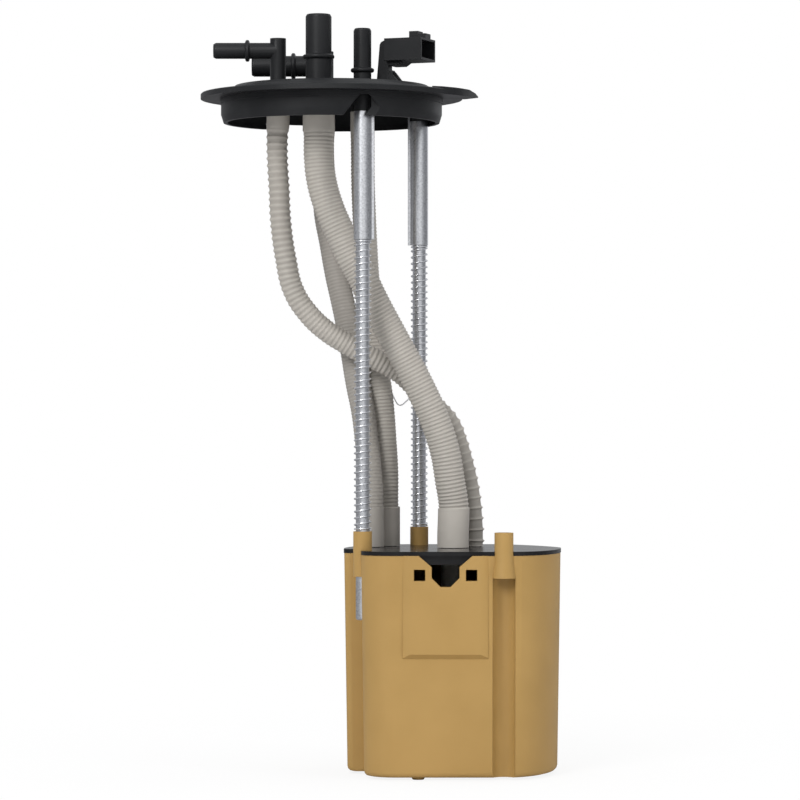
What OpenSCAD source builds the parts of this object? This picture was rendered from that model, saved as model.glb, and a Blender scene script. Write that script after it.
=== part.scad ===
// Fuel tank sending unit: a round tank cover with four hose ports and a plug socket, two steel
// guide rods with springs, and a reservoir that slides on them and carries the fuel level sender.
// The origin is on the cover's axis, in the plane of the lip's underside. +Z is up, and +X points
// to the side on which the reservoir hangs.

/* [Cover] */
// Radius of the lip that seats on the tank
lip_r = 78.5; // [74:0.5:90]
// Thickness of the lip
lip_t = 3.3; // [2:0.1:5]
// Radius at the top of the raised deck
deck_r = 57.9; // [55:0.1:60]
// Radius at the foot of the raised deck
deck_foot_r = 64.7; // [63:0.1:68]
// Height of the deck's top over the seat plane
deck_z = 7.8; // [6:0.1:14]
// Thickness of the deck and its shoulder
deck_t = 3.2; // [2:0.1:5]
// Outer radius of the skirt that enters the tank's neck
skirt_r = 66.3; // [65:0.1:70]
// Wall of the skirt
skirt_wall = 2.4; // [1.5:0.1:3]
// Depth of the skirt under the seat plane
skirt_depth = 14.2; // [12:0.1:20]
// Radial step of the locating collar at the top of the skirt
collar_step = 0.6; // [0.3:0.1:2]
// Height of the locating collar
collar_h = 3; // [2:0.1:5]
// Reach of the locating ear from the cover's axis
ear_reach = 88; // [84:0.5:96]
// Height of the locating ear over the lip
ear_rise = 1.1; // [0.5:0.1:2]

/* [Ports] */
// Outer radius of the small elbow's nipple
small_nipple_r = 4.75; // [4:0.05:5.5]
// Outer radius of the rear elbow's nipple
rear_nipple_r = 6.3; // [5.5:0.05:7]
// Outer radius of the large upright nipple
large_nipple_r = 7.7; // [7:0.05:8.5]
// Outer radius of the middle upright nipple
middle_nipple_r = 5.35; // [4.5:0.05:6]
// Wall of a nipple
nipple_wall = 1.5; // [1:0.1:2]
// How far a nipple's locking bead stands out
bead_step = 1.7; // [1:0.1:2.2]
// Length of a bead along its nipple
bead_len = 2.9; // [2:0.1:5]
// Height of the large nipple's tip
large_tip_z = 48.5; // [44:0.1:56]
// Height of the middle nipple's tip
middle_tip_z = 43.2; // [38:0.1:50]
// Height of the small elbow's nipple axis
small_axis_z = 27.8; // [26:0.1:34]
// Height of the rear elbow's nipple axis
rear_axis_z = 22.4; // [20:0.1:25]
// Distance from a nipple's tip to its bead
nipple_len = 23.8; // [20:0.1:26]
// Distance from the small nipple's tip to its bead
small_nipple_len = 18.8; // [16:0.1:22]

/* [Plug socket] */
// Width of the socket housing
socket_w = 22.8; // [20:0.1:26]
// Height of the socket housing
socket_h = 13.4; // [11:0.1:16]
// Length of the socket housing
socket_len = 24; // [20:0.1:28]
// Wall of the socket housing
socket_wall = 1.4; // [1:0.1:2]
// Depth of the socket's mouth
socket_depth = 18; // [14:0.1:19]
// Height of the housing's top over the seat plane
socket_top_z = 36.7; // [32:0.1:44]
// Turn of the socket away from +X
socket_turn = -22.5; // [-40:0.5:0]
// Number of terminal pins
terminal_count = 4; // [2:1:6]

/* [Guide rods] */
// Radius of both guide rods
rod_r = 4; // [3:0.1:4.5]
// Depth of a rod's lower end under the seat plane
rod_end_z = 309.2; // [300:0.1:340]
// Outer radius of the spacer sleeves
sleeve_r = 5.35; // [5.25:0.05:6.5]
// Depth of a sleeve's upper end under the seat plane
sleeve_top_z = 11; // [9:0.1:14]
// Length of the spacer sleeves
sleeve_len = 75.3; // [50:0.1:90]
// Front rod: distance from the cover's axis to the right
front_rod_x = 19.2; // [17:0.1:22]
// Front rod: distance from the cover's axis to the front
front_rod_y = 50; // [48:0.1:52]
// Rear rod: distance from the cover's axis to the right
rear_rod_x = 52.8; // [50:0.1:54]
// Rear rod: distance from the cover's axis to the back
rear_rod_y = 26; // [23:0.1:27]

/* [Springs] */
// Wire diameter of the guide springs
spring_wire = 1; // [0.8:0.05:1.2]
// Rise from one open turn to the next
spring_pitch = 3.8; // [3:0.1:6]
// Gap between the wire and its rod
spring_gap = 0.2; // [0.2:0.05:0.4]

/* [Reservoir] */
// Depth of the reservoir lid's top under the seat plane
lid_top_z = 268.3; // [262:0.1:280]
// Thickness of the lid's plate
lid_t = 2.4; // [1.5:0.1:4]
// How far the lid's plate stands out past the cup
lid_overhang = 0.3; // [0:0.05:1]
// Depth of the lid's inner skirt
lid_skirt = 5.3; // [3:0.1:7]
// Wall of the lid's inner skirt
lid_skirt_wall = 1.6; // [1:0.1:2.5]
// Height of the reservoir cup
cup_h = 129; // [110:0.5:150]
// Left side of the cup, from the cover's axis
cup_left = 8.1; // [7:0.1:10]
// Width of the cup
cup_w = 128.6; // [124:0.1:134]
// Front of the cup, from the cover's axis
cup_front = 72.5; // [71:0.1:76]
// Depth of the cup from front to back
cup_d = 108.5; // [104:0.1:112]
// Wall of the cup
cup_wall = 2; // [1.5:0.1:2.6]
// Thickness of the cup's floor
cup_floor = 2.5; // [2:0.1:4]
// Share of its top size that the cup keeps at its floor
cup_draft = 0.97; // [0.96:0.005:0.99]
// Round of the cup's bottom edge
cup_round = 3; // [1:0.1:4]
// Height of the moulded feet
foot_h = 1.6; // [1:0.1:3]
// Outer radius of the guide bosses
boss_r = 5.5; // [5.4:0.05:6]
// Depth of the bosses' tops under the seat plane
boss_top_z = 257.3; // [250:0.1:260]
// Length of the guide bosses
boss_len = 26.4; // [22:0.1:40]
// Radius of the grooves under the bosses, in which the rods run free
groove_r = 6.7; // [6.4:0.1:7.6]
// Spare boss: distance from the cup's right side
spare_boss_inset = 35.3; // [33:0.1:38]
// Width of the sender seat's face on the front
seat_w = 40.7; // [38:0.1:44]
// Height of the sender seat
seat_h = 58.6; // [50:0.1:70]
// How far the sender seat stands out
seat_t = 2.5; // [1:0.1:3.5]
// Width of the square latch windows
window_w = 6.6; // [5:0.1:8]
// Distance between the latch windows
window_span = 30.1; // [28:0.1:32]
// Width of the notch under the lid
notch_w = 31.2; // [28:0.1:34]
// Depth of the notch under the lid
notch_h = 18; // [14:0.1:22]

/* [Level sender] */
// Height of the arm's pivot over the cup's floor
pivot_up = 95; // [85:0.5:105]
// Distance of the arm's pivot from the cup's right side
pivot_inset = 41.7; // [38:0.1:46]
// Radius of the float arm's wire
arm_r = 1.25; // [1:0.05:1.5]
// Length of the float arm
arm_len = 85; // [75:0.5:95]
// Angle of the arm at the empty stop, from +X
arm_rest = 235; // [228:0.5:242]
// Radius of the float
float_r = 10; // [8:0.1:12]
// Length of the float
float_len = 26; // [20:0.5:30]

/* [Hidden] */
$fn = 64;

// Clearances
slip = 0.08;
seat_gap = 0.3;
socket_gap = 0.05;

// Where the upright stems of the ports cross the cover, and the tips of the two side nipples
small_port = [-31.6, -15];
small_tip_x = -70.1;
rear_port = [-5.6, 25];
rear_tip_x = -48.9;
large_port_at = [-7.2, -25];
middle_port_at = [18.5, 4];
// Radii of the tails that the hoses slide on, under the cover and on the lid
small_tail_r = 4.6;
rear_tail_r = 5.2;
large_tail_r = 7.3;
middle_tail_r = 6;
tail_bottom_z = -19;
port_foot_t = 1.6;
port_foot_step = 2;
// Radii of the hoses along their free length
small_hose_r = 6.1;
rear_hose_r = 6.7;
large_hose_r = 9;
middle_hose_r = 7.6;
cuff_wall = 1.9;
cuff_top_z = -7;
cuff_bottom_z = -23;

// Where the socket's mouth ends and the pitch of its terminals
socket_mouth_x = 58;
terminal_pitch = 3.4;
// Half the side of a terminal pin, and how deep it sits in the housing's back wall
pin_half = 0.32;
pin_seat = 4.5;

front_rod = [front_rod_x, -front_rod_y];
rear_rod = [rear_rod_x, rear_rod_y];
rod_top_z = 2;
rod_chamfer = 0.8;
rod_boss_r = 5.2;
sleeve_bottom_z = -sleeve_top_z - sleeve_len;
clip_r = rod_r + 0.75;
clip_t = 1;
clip_groove = 0.5;
clip_recess = 2;

// The reservoir's plan at the top of the cup
cup_right = cup_left + cup_w;
cup_front_y = -cup_front;
cup_back_y = cup_front_y + cup_d;
cup_side_y = cup_front_y + 57.5;
block_x = front_rod_x - 0.8;
lobe_y = -front_rod_y + 16;
plate_z = -lid_top_z - lid_t;
cup_bottom_z = plate_z - cup_h;
cup_centre = [(cup_left + cup_right) / 2, (cup_front_y + cup_back_y) / 2];
spare_boss = [cup_right - spare_boss_inset, cup_front_y + 1.5];
boss_bottom_z = -boss_top_z - boss_len;
bore_r = rod_r + slip;
window_x = (cup_left + cup_right) / 2 - 4.9;
window_z = plate_z - 11.2;
feet = [
    [cup_left + 43.6, cup_front_y + 10.5],
    [cup_right - 20, cup_side_y - 3],
    [cup_left + 9, cup_side_y + 3],
    [cup_left + 67, cup_back_y - 10]
];

// Where the hoses meet the lid
small_stub = [85.5, 1.5];
rear_stub = [24.3, -5];
large_stub = [72.7, -17];
middle_stub = [33, 9.5];
stub_top_z = -lid_top_z + 16;

// Level sender on the back of the cup
pad_y = cup_back_y + 1.5;
pad_w = 34;
pad_h = 42;
sender_t = 4;
sender_w = 30;
sender_h = 38;
sender_y = pad_y + sender_t;
pivot = [cup_right - pivot_inset, cup_bottom_z + pivot_up];
pivot_r = 2;
hub_r = 6;
hub_t = 5.6;
hub_y = sender_y + 0.3;
arm_y = hub_y + hub_t / 2;
card_t = 0.8;
arm_dir = [cos(arm_rest), sin(arm_rest)];
arm_end = pivot + arm_len * arm_dir;
float_y = arm_y + arm_r + 1;

// Centrelines of the hoses, from the cover down to the lid
small_route = [
    [-32, -15, -22], [-32, -15, -36], [-31, -15, -54], [-30, -15, -74], [-27, -15, -96],
    [-22.4, -14, -115], [-13.2, -12.5, -129.3], [-1.9, -10.5, -139.7], [9.4, -8.5, -146.8],
    [23.2, -6.5, -154.3], [32.1, -5, -158.8], [39.9, -4, -163.2], [45.9, -3.5, -168.3],
    [51.5, -3, -174.3], [57.9, -2, -180.6], [65.1, -1, -187.2], [71.1, 0, -194.4],
    [75.6, 1, -205.2], [78.6, 1, -215.3], [82, 1, -229], [84, 1, -241], [85, 1, -251]
];
large_route = [
    [-7, -25, -22], [-7, -25, -36], [-5.5, -25, -50], [-1, -25, -66], [6, -25, -82],
    [11.7, -24.5, -94.6], [16.8, -24, -103.5], [25.4, -24, -121.3], [34.9, -23, -139.1],
    [45, -22, -157.5], [54.5, -21, -175.9], [61.9, -20, -192.5], [67.7, -19, -210.3],
    [70.8, -18, -228.2], [73, -17, -243], [73, -17, -251]
];
rear_route = [
    [-6, 25, -22], [-6, 25, -34], [-5, 24, -48], [-4, 21, -67], [-1, 18, -85], [2, 15, -104],
    [5, 12, -121], [8, 10, -137], [11, 8, -153], [14, 6, -169], [19, 2, -188], [21, 0, -204],
    [23, -3, -222], [24, -5, -238], [24, -5, -251]
];
middle_route = [
    [18, 4, -22], [18, 5, -34], [18, 6, -48], [19, 8, -66], [20, 10, -86], [22, 12, -112],
    [25, 14, -138], [28, 14, -165], [30, 14, -180], [32, 12, -206], [33, 11, -224],
    [33, 10, -238], [33, 10, -251]
];
// Centreline of the sender's lead, from under the plug socket to the top of the sender's body
sender_top = pivot[1] + sender_h / 2;
lead_y = sender_y - 1.5;
lead_route = [
    [30, 13, deck_z - deck_t - 0.5], [28.5, 16, 0.5], [25, 20, -5.5], [23, 21, -14], [22, 22, -40],
    [22, 24, -80], [24, 27, -112], [27, 28, -138], [31, 27, -160], [35, 25, -172], [38, 23, -180],
    [41, 21, -183.5], [45, 19, -181], [49, 17, -178], [55, 15, -181], [62, 17, -200], [69, 23, -225],
    [76, 31, -248], [82, 37, -262], [pivot[0] - 9, lead_y, sender_top + 14.7],
    [pivot[0] - 7, lead_y, sender_top + 7], [pivot[0] - 7, lead_y, sender_top + 0.4]
];
lead_r = 0.5;

// Vector helpers and sweeps
function unit(v) = v / norm(v);
function tangent(p, i) = unit(p[min(i + 1, len(p) - 1)] - p[max(i - 1, 0)]);
function ring_point(p, i, a, r) =
    let (t = tangent(p, i), u = unit(cross([0, 1, 0], t)), v = cross(t, u))
    p[i] + r * (cos(a) * u + sin(a) * v);
// Triangles round a tube of rings, clockwise from outside, with a cap at each end
// Each end is fanned from its ring's last point, where a plan with an inner corner has that corner
function tube_faces(rings, sides) = concat(
    [concat([sides - 1], [for (k = [0 : sides - 2]) k])],
    [for (i = [0 : rings - 2], k = [0 : sides - 1])
        [i * sides + k, (i + 1) * sides + k, (i + 1) * sides + (k + 1) % sides]],
    [for (i = [0 : rings - 2], k = [0 : sides - 1])
        [i * sides + k, (i + 1) * sides + (k + 1) % sides, i * sides + (k + 1) % sides]],
    [[for (k = [sides - 1 : -1 : 0]) (rings - 1) * sides + k]]
);
module swept_tube(path, r, sides) {
    polyhedron(
        points = [for (i = [0 : len(path) - 1], k = [0 : sides - 1]) ring_point(path, i, 360 * k / sides, r)],
        faces = tube_faces(len(path), sides),
        convexity = 6
    );
}

// A rounded corner from a to c under the control point b: a weight near 0.7 gives an ellipse
function corner_point(a, b, c, w, t) =
    ((1 - t) * (1 - t) * a + 2 * w * t * (1 - t) * b + t * t * c)
    / ((1 - t) * (1 - t) + 2 * w * t * (1 - t) + t * t);
function corner(a, b, c, w, n) = [for (i = [0 : n]) corner_point(a, b, c, w, i / n)];
function past_first(list) = [for (i = [1 : len(list) - 1]) list[i]];

// The cup's plan, seen from above and read from the front left corner to the right
cup_plan = concat(
    corner([block_x, cup_front_y + 16.5], [block_x, cup_front_y], [block_x + 17.6, cup_front_y], 0.7, 8),
    corner([cup_right - 32.7, cup_front_y], [cup_right, cup_front_y], [cup_right, cup_side_y], 0.7, 12),
    past_first(
        corner([cup_right, cup_side_y], [cup_right, cup_back_y], [cup_right - 38.7, cup_back_y], 0.3, 10)
    ),
    corner([cup_left + 41.9, cup_back_y], [cup_left, cup_back_y], [cup_left, cup_side_y - 9], 0.6, 10),
    corner([cup_left, lobe_y + 4], [cup_left, lobe_y], [cup_left + 4, lobe_y], 0.7, 4),
    [[block_x, lobe_y]]
);

// Outline that the cup keeps at a height over its floor, drawn in by an inset
function cup_ring(z, inset) =
    let (k = cup_draft + (1 - cup_draft) * (z - cup_bottom_z) / cup_h)
    let (half = [cup_w / 2, cup_d / 2])
    [for (p = cup_plan)
        let (q = p - cup_centre)
        [
            cup_centre[0] + q[0] * k * (half[0] - inset) / half[0],
            cup_centre[1] + q[1] * k * (half[1] - inset) / half[1],
            z
        ]];

// Places on the guide bosses, from front to spare
module at_bosses() {
    for (p = [front_rod, rear_rod, spare_boss]) {
        translate([p[0], p[1], 0]) children();
    }
}

// A nipple along +Z from its tip at the origin down, with its locking bead
module nipple(r, length, to_bead) {
    crest = bead_len * 0.3;
    rotate_extrude() polygon([
        [0, -length], [0, 0], [r - 0.8, 0], [r, -1.5], [r, -to_bead],
        [r + bead_step * 0.7, -to_bead - crest * 0.4], [r + bead_step, -to_bead - crest],
        [r + bead_step, -to_bead - bead_len + crest],
        [r + bead_step * 0.7, -to_bead - bead_len + crest * 0.4],
        [r, -to_bead - bead_len], [r, -length]
    ]);
}

// The foot on the deck and the tail under it that a hose slides on
module port_stem(stem_r, tail_r, top_z) {
    rotate_extrude() polygon([
        [0, tail_bottom_z], [0, top_z], [stem_r, top_z], [stem_r, deck_z + port_foot_t],
        [stem_r + port_foot_step, deck_z + port_foot_t], [stem_r + port_foot_step, deck_z],
        [tail_r, deck_z], [tail_r, tail_bottom_z + 5], [tail_r + 0.4, tail_bottom_z + 4.5],
        [tail_r - 0.3, tail_bottom_z]
    ]);
}

module elbow_port(at, r, tail_r, axis_z, tip_x, to_bead) {
    stem_r = r;
    bore = r - nipple_wall;
    difference() {
        union() {
            translate([at[0], at[1], 0]) port_stem(stem_r, tail_r, axis_z);
            translate([at[0], at[1], axis_z]) cylinder(r = stem_r, h = r + 2.6);
            translate([tip_x, at[1], axis_z]) rotate([0, -90, 0]) nipple(r, at[0] - tip_x, to_bead);
        }
        translate([at[0], at[1], tail_bottom_z - 1])
            cylinder(r = min(bore, tail_r - 1.4), h = axis_z - tail_bottom_z + 1);
        translate([tip_x - 1, at[1], axis_z]) rotate([0, 90, 0]) cylinder(r = bore, h = at[0] - tip_x + 1);
    }
}

module upright_port(at, r, tail_r, tip_z) {
    difference() {
        translate([at[0], at[1], 0]) union() {
            port_stem(r, tail_r, deck_z + 3);
            translate([0, 0, tip_z]) nipple(r, tip_z - deck_z - 3, nipple_len);
        }
        translate([at[0], at[1], tail_bottom_z - 1])
            cylinder(r = min(r, tail_r) - nipple_wall, h = tip_z - tail_bottom_z + 2);
    }
}

// A hose with a cuff over the port's tail and one over the lid's stub
module hose(route, r, port_at, tail_r, stub_at, stub_r) {
    top_r = tail_r + 0.5;
    low_r = stub_r + 0.1;
    swept_tube(route, r, 12);
    difference() {
        translate([port_at[0], port_at[1], cuff_bottom_z])
            cylinder(r = top_r + cuff_wall, h = cuff_top_z - cuff_bottom_z);
        translate([port_at[0], port_at[1], tail_bottom_z - 0.3]) cylinder(r = top_r, h = 30);
    }
    difference() {
        translate([stub_at[0], stub_at[1], -lid_top_z + seat_gap]) cylinder(r = low_r + cuff_wall, h = 18.5);
        translate([stub_at[0], stub_at[1], -lid_top_z - 1])
            cylinder(r = low_r, h = stub_top_z + lid_top_z + 1.3);
    }
}

// Turned profile of the cover, from the deck's middle out and back under it
module flange_shell() {
    inner_r = skirt_r - skirt_wall;
    rotate_extrude($fn = 128) polygon([
        [0, deck_z], [deck_r, deck_z], [deck_foot_r, lip_t], [lip_r - 0.6, lip_t], [lip_r, lip_t - 0.6],
        [lip_r, 0], [skirt_r + collar_step, 0], [skirt_r + collar_step, -collar_h],
        [skirt_r, -collar_h], [skirt_r, -skirt_depth + 4.9], [skirt_r - 1.5, -skirt_depth],
        [inner_r - 1.5, -skirt_depth], [inner_r, -skirt_depth + 4.9], [inner_r, 0],
        [deck_r - 2, deck_z - deck_t], [0, deck_z - deck_t]
    ]);
}

// Locating ear: a leaf on the lip, whose rounded tip droops
module flange_ear() {
    top_z = lip_t + ear_rise;
    intersection() {
        linear_extrude(top_z) polygon([
            [60, -44], [66, -41.5], [ear_reach - 14, -33], [ear_reach - 9.5, -26], [ear_reach - 5.5, -18],
            [ear_reach - 1.8, -9], [ear_reach, -3.5], [ear_reach, -2], [72, -2], [72, -20]
        ]);
        rotate([90, 0, 0]) linear_extrude(50) polygon([
            [58, 0], [ear_reach - 8, 0], [ear_reach, 0.9], [ear_reach, 1.5], [ear_reach - 1.8, 3],
            [ear_reach - 5.5, top_z], [58, top_z]
        ]);
    }
}

// Cuts in the skirt: a V in front, a low one behind, a slot at the right and room for a sleeve
module skirt_notches() {
    translate([front_rod_x + 1.3, -skirt_r + 3 * skirt_wall, -1.9]) rotate([90, 0, 0])
        linear_extrude(4 * skirt_wall) polygon([[-2.6, 0], [2.6, 0], [13, -12.4], [-12.6, -12.4]]);
    translate([-44, skirt_r - 18, -skirt_depth - 1]) cube([25, 30, 4.6]);
    rotate([0, 0, 2]) translate([skirt_r - skirt_wall - 1.7, -2, -skirt_depth - 1]) cube([10, 4, 6.7]);
    translate([rear_rod_x, rear_rod_y, -skirt_depth - 1])
        cylinder(r = sleeve_r + seat_gap, h = skirt_depth + 1 - 7.5);
}

// Bosses for the rods, which end within the deck and its shoulder
module rod_bosses() {
    skin = 1;
    intersection() {
        for (p = [front_rod, rear_rod]) {
            translate([p[0], p[1], -sleeve_top_z]) cylinder(r = rod_boss_r, h = sleeve_top_z + deck_z);
        }
        rotate_extrude($fn = 128) polygon([
            [0, -sleeve_top_z - 1], [0, deck_z - skin], [deck_r - skin, deck_z - skin],
            [deck_foot_r - skin, lip_t - skin], [deck_foot_r - skin, -sleeve_top_z - 1]
        ]);
    }
}

module flange_cover() {
    port_holes = [
        [small_port, small_tail_r], [rear_port, rear_tail_r],
        [large_port_at, large_tail_r], [middle_port_at, middle_tail_r]
    ];
    color([0.09, 0.09, 0.095]) difference() {
        union() {
            difference() {
                flange_shell();
                skirt_notches();
            }
            difference() {
                flange_ear();
                translate([0, 0, -1]) cylinder(r = deck_foot_r + 1, h = 20, $fn = 128);
            }
            rod_bosses();
        }
        // Sockets for the rods
        for (p = [front_rod, rear_rod]) {
            translate([p[0], p[1], -sleeve_top_z - 1])
                cylinder(r = rod_r + socket_gap, h = sleeve_top_z + 1 + rod_top_z + socket_gap);
        }
        // Holes for the ports' stems
        for (hole = port_holes) {
            translate([hole[0][0], hole[0][1], -1]) cylinder(r = hole[1] + socket_gap, h = deck_z + 3);
        }
    }
}

module small_elbow_port() {
    color([0.08, 0.08, 0.085])
        elbow_port(small_port, small_nipple_r, small_tail_r, small_axis_z, small_tip_x, small_nipple_len);
}

module rear_elbow_port() {
    color([0.08, 0.08, 0.085])
        elbow_port(rear_port, rear_nipple_r, rear_tail_r, rear_axis_z, rear_tip_x, nipple_len);
}

module large_port() {
    color([0.08, 0.08, 0.085]) upright_port(large_port_at, large_nipple_r, large_tail_r, large_tip_z);
}

module middle_port() {
    color([0.08, 0.08, 0.085]) upright_port(middle_port_at, middle_nipple_r, middle_tail_r, middle_tip_z);
}

// Frame of the plug socket: +X out of its mouth, origin at the middle of the mouth's top edge
module at_socket() {
    translate([socket_mouth_x, 0, socket_top_z]) rotate([0, 0, socket_turn]) children();
}

function pin_y(i) = (i - (terminal_count - 1) / 2) * terminal_pitch;

// Socket for the wiring plug, carried by a tapered tower that two gussets stiffen
module plug_housing() {
    tower_w = 6;
    foot_z = deck_z - socket_top_z;
    back = -socket_len;
    latch_w = 8;
    gusset_t = 1.5;
    gusset_len = 10;
    color([0.1, 0.1, 0.105]) difference() {
        at_socket() union() {
            translate([back, -socket_w / 2, -socket_h]) cube([socket_len, socket_w, socket_h]);
            translate([0, tower_w / 2, 0]) rotate([90, 0, 0]) linear_extrude(tower_w) polygon([
                [back + 1, -0.5], [back - 4, -0.5], [back - 5.6, -1.3], [back - 6.4, -2.8],
                [back - 8.7, foot_z], [back - 0.6, foot_z], [back - 0.6, -socket_h + 1],
                [back + 1, -socket_h + 1]
            ]);
            // Web under the housing
            translate([0, socket_w / 3, 0]) rotate([90, 0, 0]) linear_extrude(2 * socket_w / 3) polygon([
                [back, -socket_h + 1], [back, -socket_h - 2.4], [back + 7, -socket_h - 2.4],
                [back + 12, -socket_h + 1]
            ]);
            // Latch ramp and the lower step in front of it
            translate([-10.8, -latch_w / 2, -1]) cube([5.8, latch_w, 5.5]);
            translate([-6, -latch_w / 2, -1]) cube([6, latch_w, 3.9]);
            for (side = [-1, 1]) {
                translate([back - 1, side * 4 + gusset_t / 2, foot_z]) rotate([90, 0, 0])
                    linear_extrude(gusset_t)
                    polygon([[0, 0], [gusset_len, 0], [2, gusset_len], [0, gusset_len]]);
            }
            translate([back - 1.6, -tower_w / 2 - 2, foot_z]) cube([2, tower_w + 4, gusset_len + 0.8]);
        }
        at_socket() translate([-socket_depth, -socket_w / 2 + socket_wall, -socket_h + socket_wall])
            cube([socket_depth + 1, socket_w - 2 * socket_wall, socket_h - 2 * socket_wall]);
        // Slots for the terminals, blind towards the tower
        at_socket() for (i = [0 : terminal_count - 1]) {
            translate([-socket_depth - pin_seat, pin_y(i) - pin_half - 0.08, -socket_h / 2 - pin_half - 0.08])
                cube([pin_seat + 1, 2 * pin_half + 0.16, 2 * pin_half + 0.16]);
        }
    }
}

module plug_terminals() {
    color([0.75, 0.7, 0.5]) at_socket() for (i = [0 : terminal_count - 1]) {
        translate([-socket_depth - pin_seat + 0.1, pin_y(i) - pin_half, -socket_h / 2 - pin_half])
            cube([pin_seat + 7, 2 * pin_half, 2 * pin_half]);
    }
}

module guide_rod(at) {
    clip_z = boss_bottom_z + clip_recess - socket_gap;
    color([0.75, 0.76, 0.78]) translate([at[0], at[1], 0]) rotate_extrude() polygon([
        [0, -rod_end_z], [rod_r - rod_chamfer, -rod_end_z], [rod_r, -rod_end_z + rod_chamfer],
        [rod_r, clip_z - clip_t - socket_gap], [rod_r - clip_groove, clip_z - clip_t - socket_gap],
        [rod_r - clip_groove, clip_z], [rod_r, clip_z], [rod_r, rod_top_z], [0, rod_top_z]
    ]);
}

module front_guide_rod() {
    guide_rod(front_rod);
}

module rear_guide_rod() {
    guide_rod(rear_rod);
}

// Snap rings in the rods' grooves, which stop the cup from sliding off
module rod_clips() {
    clip_z = boss_bottom_z + clip_recess - socket_gap - clip_t;
    color([0.3, 0.3, 0.32]) for (p = [front_rod, rear_rod]) {
        translate([p[0], p[1], clip_z]) difference() {
            cylinder(r = clip_r, h = clip_t - socket_gap);
            translate([0, 0, -1]) cylinder(r = rod_r - clip_groove + socket_gap, h = clip_t + 2);
            translate([0, -1.2, -1]) cube([clip_r + 1, 2.4, clip_t + 2]);
        }
    }
}

// Spacer sleeve with a flat strip along one side, which stands up beside the boss over it
module rod_sleeve(at, side) {
    bore = rod_r + 0.15;
    strip_w = 2.6;
    strip_out = 1.55;
    strip_rise = 3;
    color([0.8, 0.81, 0.83]) translate([at[0], at[1], sleeve_bottom_z]) difference() {
        union() {
            cylinder(r = sleeve_r, h = sleeve_len);
            rotate([0, 0, 90 - 90 * side]) translate([sleeve_r - 0.6, -strip_w / 2, 0])
                cube([strip_out + 0.6, strip_w, sleeve_len + strip_rise]);
        }
        translate([0, 0, -1]) cylinder(r = bore, h = sleeve_len + 2);
        translate([0, 0, sleeve_len]) cylinder(r = rod_boss_r + 0.55, h = strip_rise + 1);
    }
}

module front_rod_sleeve() {
    rod_sleeve(front_rod, 1);
}

module rear_rod_sleeve() {
    rod_sleeve(rear_rod, -1);
}

// Compression spring: open turns between one closed turn at each end
module guide_spring(at) {
    steps = 12;
    sides = 4;
    wire_r = spring_wire / 2;
    coil_r = rod_r + spring_gap + wire_r;
    low_z = -boss_top_z + seat_gap + wire_r;
    high_z = sleeve_bottom_z - socket_gap - wire_r;
    rise = high_z - low_z;
    end_rise = spring_wire + 0.15;
    open_turns = round((rise - 2 * end_rise) / spring_pitch);
    turns = open_turns + 2;
    open_pitch = (rise - 2 * end_rise) / open_turns;
    function coil_z(t) = t < 1 ? t * end_rise
        : t > turns - 1 ? rise - (turns - t) * end_rise
        : end_rise + (t - 1) * open_pitch;
    rings = turns * steps + 1;
    color([0.78, 0.79, 0.81]) translate([at[0], at[1], low_z]) polyhedron(
        points = [for (i = [0 : rings - 1], k = [0 : sides - 1])
            let (a = 360 * i / steps, b = 360 * k / sides, r = coil_r + wire_r * cos(b))
            [r * cos(a), r * sin(a), coil_z(i / steps) - wire_r * sin(b)]],
        faces = tube_faces(rings, sides),
        convexity = 10
    );
}

module front_spring() {
    guide_spring(front_rod);
}

module rear_spring() {
    guide_spring(rear_rod);
}

module small_hose() {
    color([0.63, 0.61, 0.58])
        hose(small_route, small_hose_r, small_port, small_tail_r, small_stub, small_tail_r);
}

module large_hose() {
    color([0.66, 0.64, 0.61])
        hose(large_route, large_hose_r, large_port_at, large_tail_r, large_stub, large_tail_r);
}

module rear_hose() {
    color([0.6, 0.58, 0.55])
        hose(rear_route, rear_hose_r, rear_port, rear_tail_r, rear_stub, rear_tail_r);
}

module middle_hose() {
    color([0.6, 0.58, 0.55])
        hose(middle_route, middle_hose_r, middle_port_at, middle_tail_r, middle_stub, middle_tail_r);
}

module sender_lead() {
    color([0.7, 0.7, 0.72]) swept_tube(lead_route, lead_r, 8);
}

// Outside of the cup: the drafted wall and its rounded bottom edge
module cup_solid() {
    arc = [0, 30, 60, 90];
    rings = concat(
        [for (a = arc) cup_ring(cup_bottom_z + cup_round * (1 - cos(a)), cup_round * (1 - sin(a)))],
        [cup_ring(plate_z, 0)]
    );
    polyhedron(
        points = [for (ring = rings, p = ring) p],
        faces = tube_faces(len(rings), len(cup_plan)),
        convexity = 6
    );
}

module cup_cavity() {
    difference() {
        translate([cup_centre[0], cup_centre[1], plate_z + 1]) mirror([0, 0, 1])
            linear_extrude(cup_h + 1 - cup_floor, scale = cup_draft) translate(-cup_centre)
            offset(delta = -cup_wall) polygon(cup_plan);
        at_bosses() translate([0, 0, cup_bottom_z]) cylinder(r = groove_r + cup_wall, h = cup_h + 2);
        // The rear groove is open to the back of the cup
        translate([rear_rod_x - groove_r - cup_wall, rear_rod_y, cup_bottom_z])
            cube([2 * (groove_r + cup_wall), 40, cup_h + 2]);
    }
}

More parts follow.
